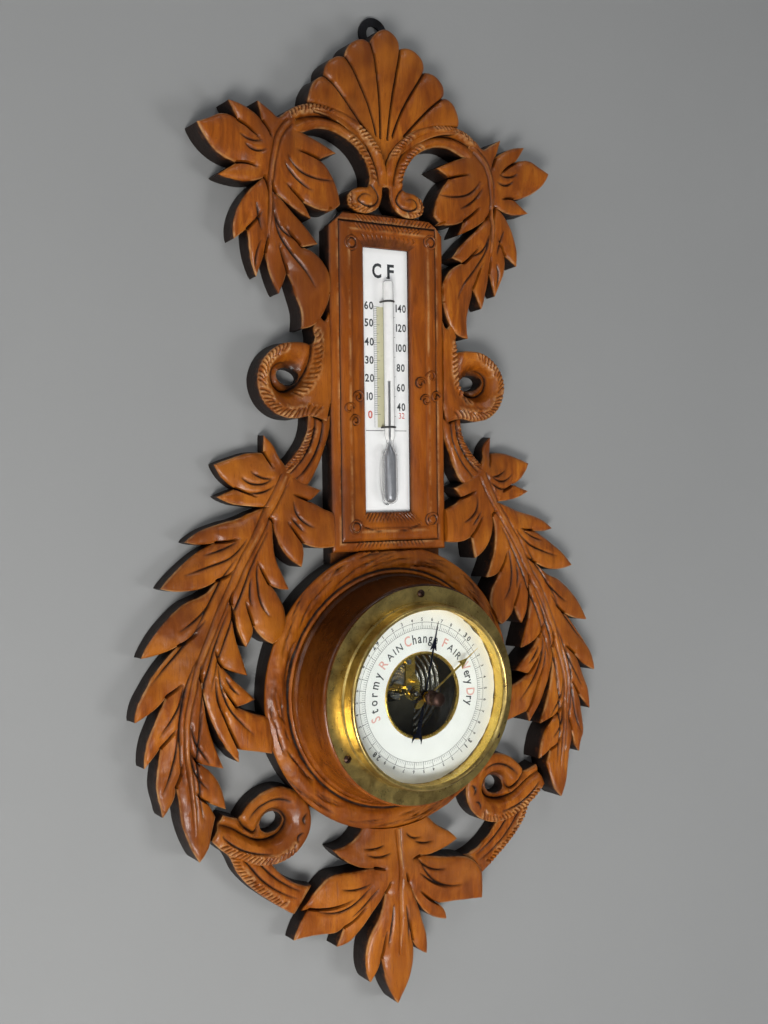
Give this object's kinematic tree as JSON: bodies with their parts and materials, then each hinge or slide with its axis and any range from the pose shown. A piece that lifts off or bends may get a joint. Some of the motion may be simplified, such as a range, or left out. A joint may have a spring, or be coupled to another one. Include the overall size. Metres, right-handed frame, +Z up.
{
  "type": "aneroid wall barometer",
  "caption": "Carved leaf-and-shell wooden wall board holding a tube thermometer and a round open-centre aneroid weather dial with a glazed brass bezel.",
  "frame": {"origin": "centre of the hanging eye's hole, on the wall plane", "axes": "+X to the viewer's right, +Y into the wall, +Z up; the front faces -Y"},
  "size_m": [0.329, 0.0703, 0.613],
  "materials": {
    "carved_wood": "semi-gloss varnish",
    "moulding_wood": "semi-gloss varnish",
    "dark_wood": "polished",
    "iron": "dark",
    "milk_glass": "satin",
    "clear_glass": "clear",
    "mercury": "liquid metal",
    "dark_wire": "dark wire",
    "old_brass": "patinated",
    "bright_brass": "bright",
    "brown_brass": "dark patina",
    "card": "satin",
    "blued_steel": "blued",
    "steel": "satin",
    "dark_steel": "dull",
    "nickel": "bright"
  },
  "bodies": {
    "frame": {"carved_frame": "carved_wood", "thermometer_frame": "moulding_wood", "drum_ring": "dark_wood", "hanger_plate": "iron", "hanger_screws": "iron", "thermometer_plate": "milk_glass", "thermometer_tube": "clear_glass", "mercury": "mercury", "tube_clips": "dark_wire", "movement_case": "old_brass", "flange_screws": "old_brass", "bezel": "old_brass", "dial_glass": "clear_glass", "reflector_ring": "bright_brass", "dial_plate": "bright_brass", "dial_card": "card", "base_plate": "dark_steel", "base_screws": "steel", "capsule": "nickel", "capsule_stud": "bright_brass", "spring_bridge": "bright_brass", "bridge_screws": "steel", "rocker_cocks": "bright_brass", "cock_screws": "steel", "arbor_cock": "bright_brass", "cock_pillar": "bright_brass"},
    "weather": {"hand_arbor": "steel", "weather_hand": "blued_steel", "hairspring": "blued_steel"},
    "setter": {"set_hand": "bright_brass", "set_knob": "brown_brass", "set_washer": "bright_brass"},
    "spring": {"main_spring": "dark_steel", "king_post": "bright_brass", "lever_arm": "bright_brass"},
    "link": {"link_rod": "steel"},
    "rocker": {"rocker_shaft": "steel"},
    "chain": {"chain": "steel"},
    "adjuster": {"adjusting_screw": "steel"}
  },
  "joints": [
    {"name": "weather_turn", "type": "hinge", "parent": "frame", "child": "weather", "pos_m": [0, -0.05, -0.4047], "axis": [0, 1, 0], "range_deg": [-148, 122]},
    {"name": "set_turn", "type": "hinge", "parent": "frame", "child": "setter", "pos_m": [0, -0.056, -0.4047], "axis": [0, 1, 0], "continuous": true},
    {"name": "chain_slide", "type": "slide", "parent": "frame", "child": "chain", "axis": [1, 0, 0], "range_m": [-0.00217, 0.00263]},
    {"name": "rocker_turn", "type": "hinge", "parent": "frame", "child": "rocker", "pos_m": [-0.014, -0.024, -0.3947], "axis": [0, 0, 1], "range_deg": [-10.37, 12.58]},
    {"name": "link_slide", "type": "slide", "parent": "frame", "child": "link", "axis": [0, 1, 0], "range_m": [-0.0011, 0.0009]},
    {"name": "spring_flex", "type": "hinge", "parent": "frame", "child": "spring", "pos_m": [-0.011, -0.0315, -0.4387], "axis": [1, 0, 0], "range_deg": [-1.08, 1.31]},
    {"name": "zero_adjust", "type": "hinge", "parent": "frame", "child": "adjuster", "pos_m": [-0.011, -0.01, -0.4422], "axis": [0, 1, 0], "range_deg": [-180, 180]}
  ],
  "couplings": [
    {"joint": "chain_slide", "follows": "weather_turn", "m_per_rad": -0.001},
    {"joint": "rocker_turn", "follows": "weather_turn", "ratio": -0.083333},
    {"joint": "link_slide", "follows": "weather_turn", "m_per_rad": 0.00041667},
    {"joint": "spring_flex", "follows": "weather_turn", "ratio": -0.0086806}
  ]
}
